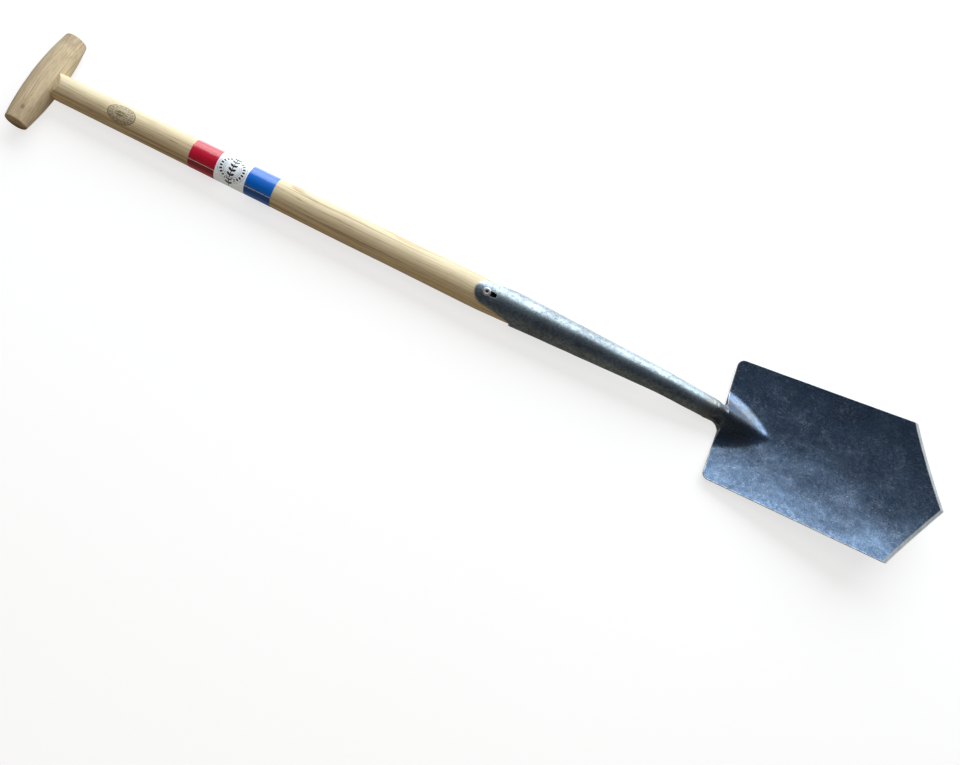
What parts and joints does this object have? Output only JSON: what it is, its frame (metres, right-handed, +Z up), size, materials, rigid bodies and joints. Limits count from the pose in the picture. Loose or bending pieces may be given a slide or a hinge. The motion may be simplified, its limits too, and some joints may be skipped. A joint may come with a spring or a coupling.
{
  "type": "garden spade",
  "caption": "Garden spade with a long ash shaft, a T-shaped wooden grip and a dished, pointed steel blade on a forged socket.",
  "frame": {"origin": "centre of the bounding box's bottom, on the floor that the spade lies on, back down and front face up", "axes": "+X along the shaft from the grip to the blade's point, +Y across the blade, +Z up out of the blade's front"},
  "size_m": [1.228, 0.193, 0.0475],
  "materials": {
    "ash_grip": "sanded ash, bare, slightly tan",
    "ash_shaft": "sanded ash, pale cream with brown grain lines",
    "wedge_wood": "hardwood, end grain",
    "forged_steel": "dark blue-grey forge finish with fine scratches",
    "dressed_steel": "ground and dressed weld, satin grey",
    "zinc_steel": "bright zinc",
    "label_film": "glossy printed film in three bands: red, white and blue"
  },
  "bodies": {
    "root": {"t_grip": "ash_grip", "grip_wedge": "wedge_wood", "shaft": "ash_shaft", "label": "label_film", "rivet": "zinc_steel", "rivet_mandrel": "zinc_steel", "socket": "forged_steel", "neck_weld": "dressed_steel", "blade": "forged_steel"}
  },
  "joints": []
}
